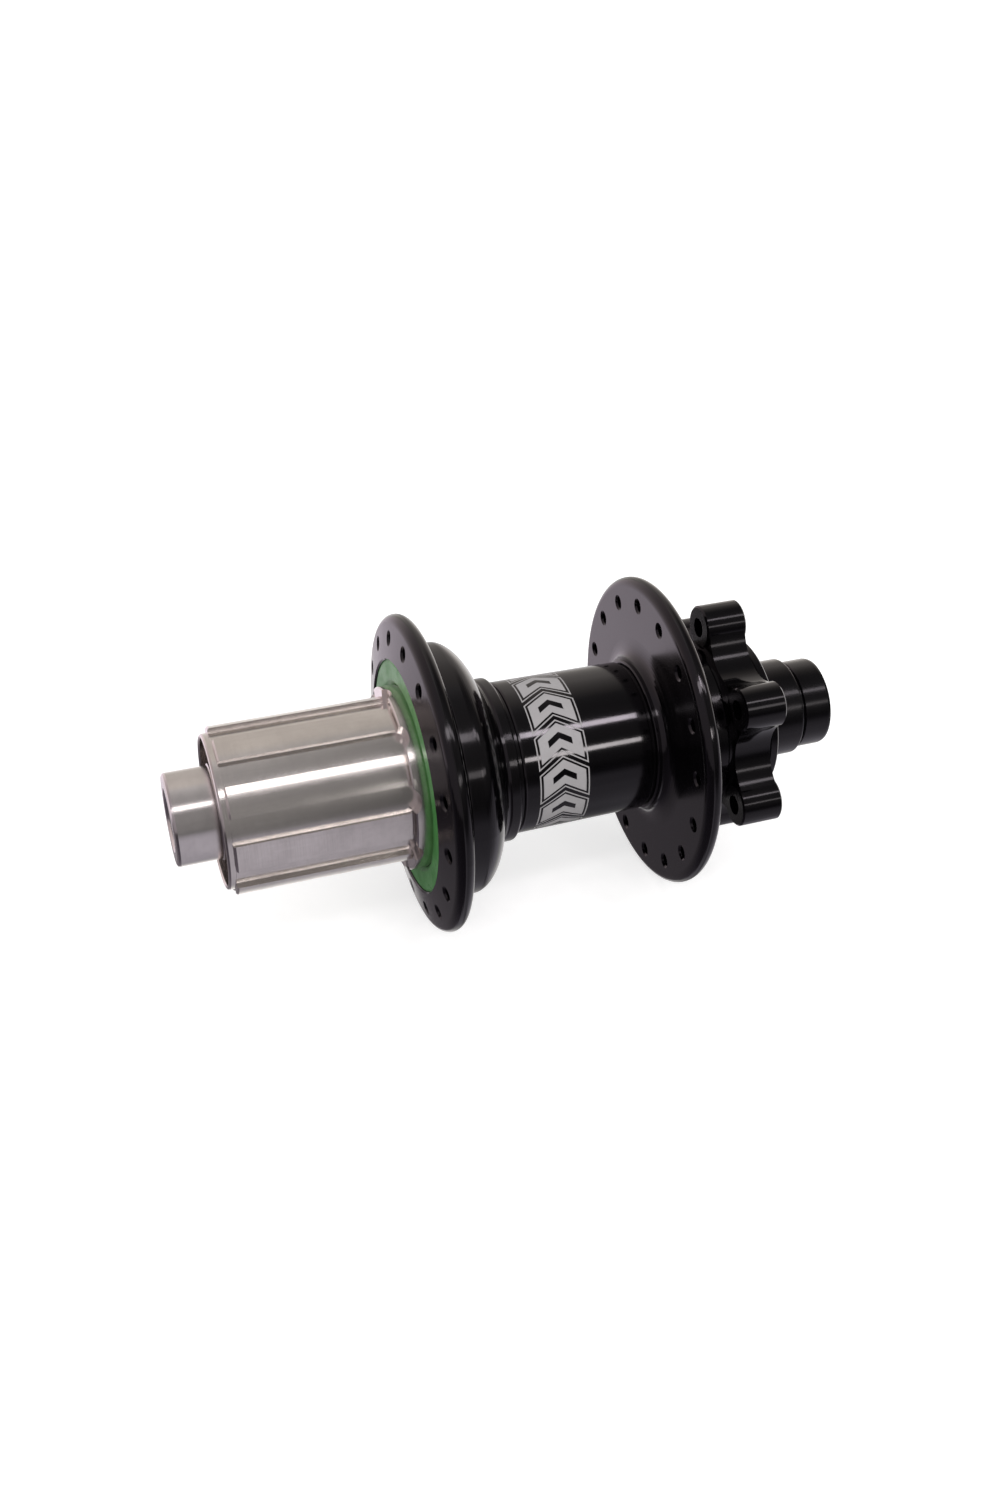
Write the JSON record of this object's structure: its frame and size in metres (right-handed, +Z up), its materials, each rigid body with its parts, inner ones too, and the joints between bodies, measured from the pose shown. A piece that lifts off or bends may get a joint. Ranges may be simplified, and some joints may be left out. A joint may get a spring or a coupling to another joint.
{
  "type": "bicycle rear hub",
  "caption": "Rear bicycle hub with a splined freehub, two spoke flanges, a bolted disc mount and thru-axle end caps.",
  "frame": {"origin": "on the hub axis, half way between the outer faces of the two end caps", "axes": "+Y along the hub axis towards the disc mount, so the freehub is on the -Y side; +Z up; +X towards the side the hub is usually seen from"},
  "size_m": [0.0666, 0.142, 0.0666],
  "materials": {
    "shell_anodised": "polished and black anodised",
    "cap_anodised": "turned and black anodised",
    "silver_cap": "fine turned, clear anodised",
    "freehub_alloy": "turned and milled, bright",
    "axle_alloy": "turned",
    "green_seal": "satin moulded seal",
    "black_rubber": "moulded",
    "tool_steel": "hardened and ground",
    "spring_steel": "blued",
    "race_steel": "ground",
    "ball_steel": "polished",
    "cage_nylon": "moulded"
  },
  "bodies": {
    "axle_assembly": {"axle": "axle_alloy", "freehub_spacer": "axle_alloy", "drive_spacer": "axle_alloy", "drive_end_cap": "silver_cap", "drive_cap_oring": "black_rubber", "disc_end_cap": "cap_anodised", "disc_cap_oring": "black_rubber", "freehub_outer_bearing_inner_race": "race_steel", "freehub_inner_bearing_inner_race": "race_steel", "drive_bearing_inner_race": "race_steel", "disc_bearing_inner_race": "race_steel"},
    "shell": {"hub_shell": "shell_anodised", "ratchet_ring": "tool_steel", "freehub_seal": "green_seal", "disc_dust_shield": "black_rubber", "drive_bearing_outer_race": "race_steel", "drive_bearing_seals": "black_rubber", "disc_bearing_outer_race": "race_steel", "disc_bearing_seals": "black_rubber"},
    "freehub": {"freehub_body": "freehub_alloy", "freehub_circlip": "spring_steel", "pawl_springs": "spring_steel", "freehub_outer_bearing_outer_race": "race_steel", "freehub_outer_bearing_seals": "black_rubber", "freehub_inner_bearing_outer_race": "race_steel", "freehub_inner_bearing_seals": "black_rubber"},
    "pawl_1": {"pawl_1": "tool_steel"},
    "pawl_2": {"pawl_2": "tool_steel"},
    "pawl_3": {"pawl_3": "tool_steel"},
    "pawl_4": {"pawl_4": "tool_steel"},
    "freehub_outer_bearing_balls_and_cage": {"freehub_outer_bearing_balls": "ball_steel", "freehub_outer_bearing_cage": "cage_nylon"},
    "freehub_inner_bearing_balls_and_cage": {"freehub_inner_bearing_balls": "ball_steel", "freehub_inner_bearing_cage": "cage_nylon"},
    "drive_bearing_balls_and_cage": {"drive_bearing_balls": "ball_steel", "drive_bearing_cage": "cage_nylon"},
    "disc_bearing_balls_and_cage": {"disc_bearing_balls": "ball_steel", "disc_bearing_cage": "cage_nylon"}
  },
  "joints": [
    {"name": "shell_spin", "type": "hinge", "parent": "axle_assembly", "child": "shell", "pos_m": [0, 0, 0], "axis": [0, 1, 0], "continuous": true},
    {"name": "freehub_spin", "type": "hinge", "parent": "axle_assembly", "child": "freehub", "pos_m": [0, -0.04, 0], "axis": [0, 1, 0], "continuous": true},
    {"name": "pawl_1_lift", "type": "hinge", "parent": "freehub", "child": "pawl_1", "pos_m": [0.0162, -0.016, 0], "axis": [0, -1, 0], "range_deg": [0, 14]},
    {"name": "pawl_2_lift", "type": "hinge", "parent": "freehub", "child": "pawl_2", "pos_m": [0, -0.016, -0.0162], "axis": [0, -1, 0], "range_deg": [0, 14]},
    {"name": "pawl_3_lift", "type": "hinge", "parent": "freehub", "child": "pawl_3", "pos_m": [-0.0162, -0.016, 0], "axis": [0, -1, 0], "range_deg": [0, 14]},
    {"name": "pawl_4_lift", "type": "hinge", "parent": "freehub", "child": "pawl_4", "pos_m": [0, -0.016, 0.0162], "axis": [0, -1, 0], "range_deg": [0, 14]},
    {"name": "freehub_outer_bearing_cage_spin", "type": "hinge", "parent": "axle_assembly", "child": "freehub_outer_bearing_balls_and_cage", "pos_m": [0, -0.0527, 0], "axis": [0, 1, 0], "continuous": true},
    {"name": "freehub_inner_bearing_cage_spin", "type": "hinge", "parent": "axle_assembly", "child": "freehub_inner_bearing_balls_and_cage", "pos_m": [0, -0.0145, 0], "axis": [0, 1, 0], "continuous": true},
    {"name": "drive_bearing_cage_spin", "type": "hinge", "parent": "axle_assembly", "child": "drive_bearing_balls_and_cage", "pos_m": [0, -0.0065, 0], "axis": [0, 1, 0], "continuous": true},
    {"name": "disc_bearing_cage_spin", "type": "hinge", "parent": "axle_assembly", "child": "disc_bearing_balls_and_cage", "pos_m": [0, 0.049, 0], "axis": [0, 1, 0], "continuous": true}
  ],
  "couplings": [
    {"joint": "pawl_2_lift", "follows": "pawl_1_lift", "ratio": 1},
    {"joint": "pawl_3_lift", "follows": "pawl_1_lift", "ratio": 1},
    {"joint": "pawl_4_lift", "follows": "pawl_1_lift", "ratio": 1},
    {"joint": "freehub_outer_bearing_cage_spin", "follows": "freehub_spin", "ratio": 0.55537},
    {"joint": "freehub_inner_bearing_cage_spin", "follows": "freehub_spin", "ratio": 0.55537},
    {"joint": "drive_bearing_cage_spin", "follows": "shell_spin", "ratio": 0.58445},
    {"joint": "disc_bearing_cage_spin", "follows": "shell_spin", "ratio": 0.58445}
  ]
}
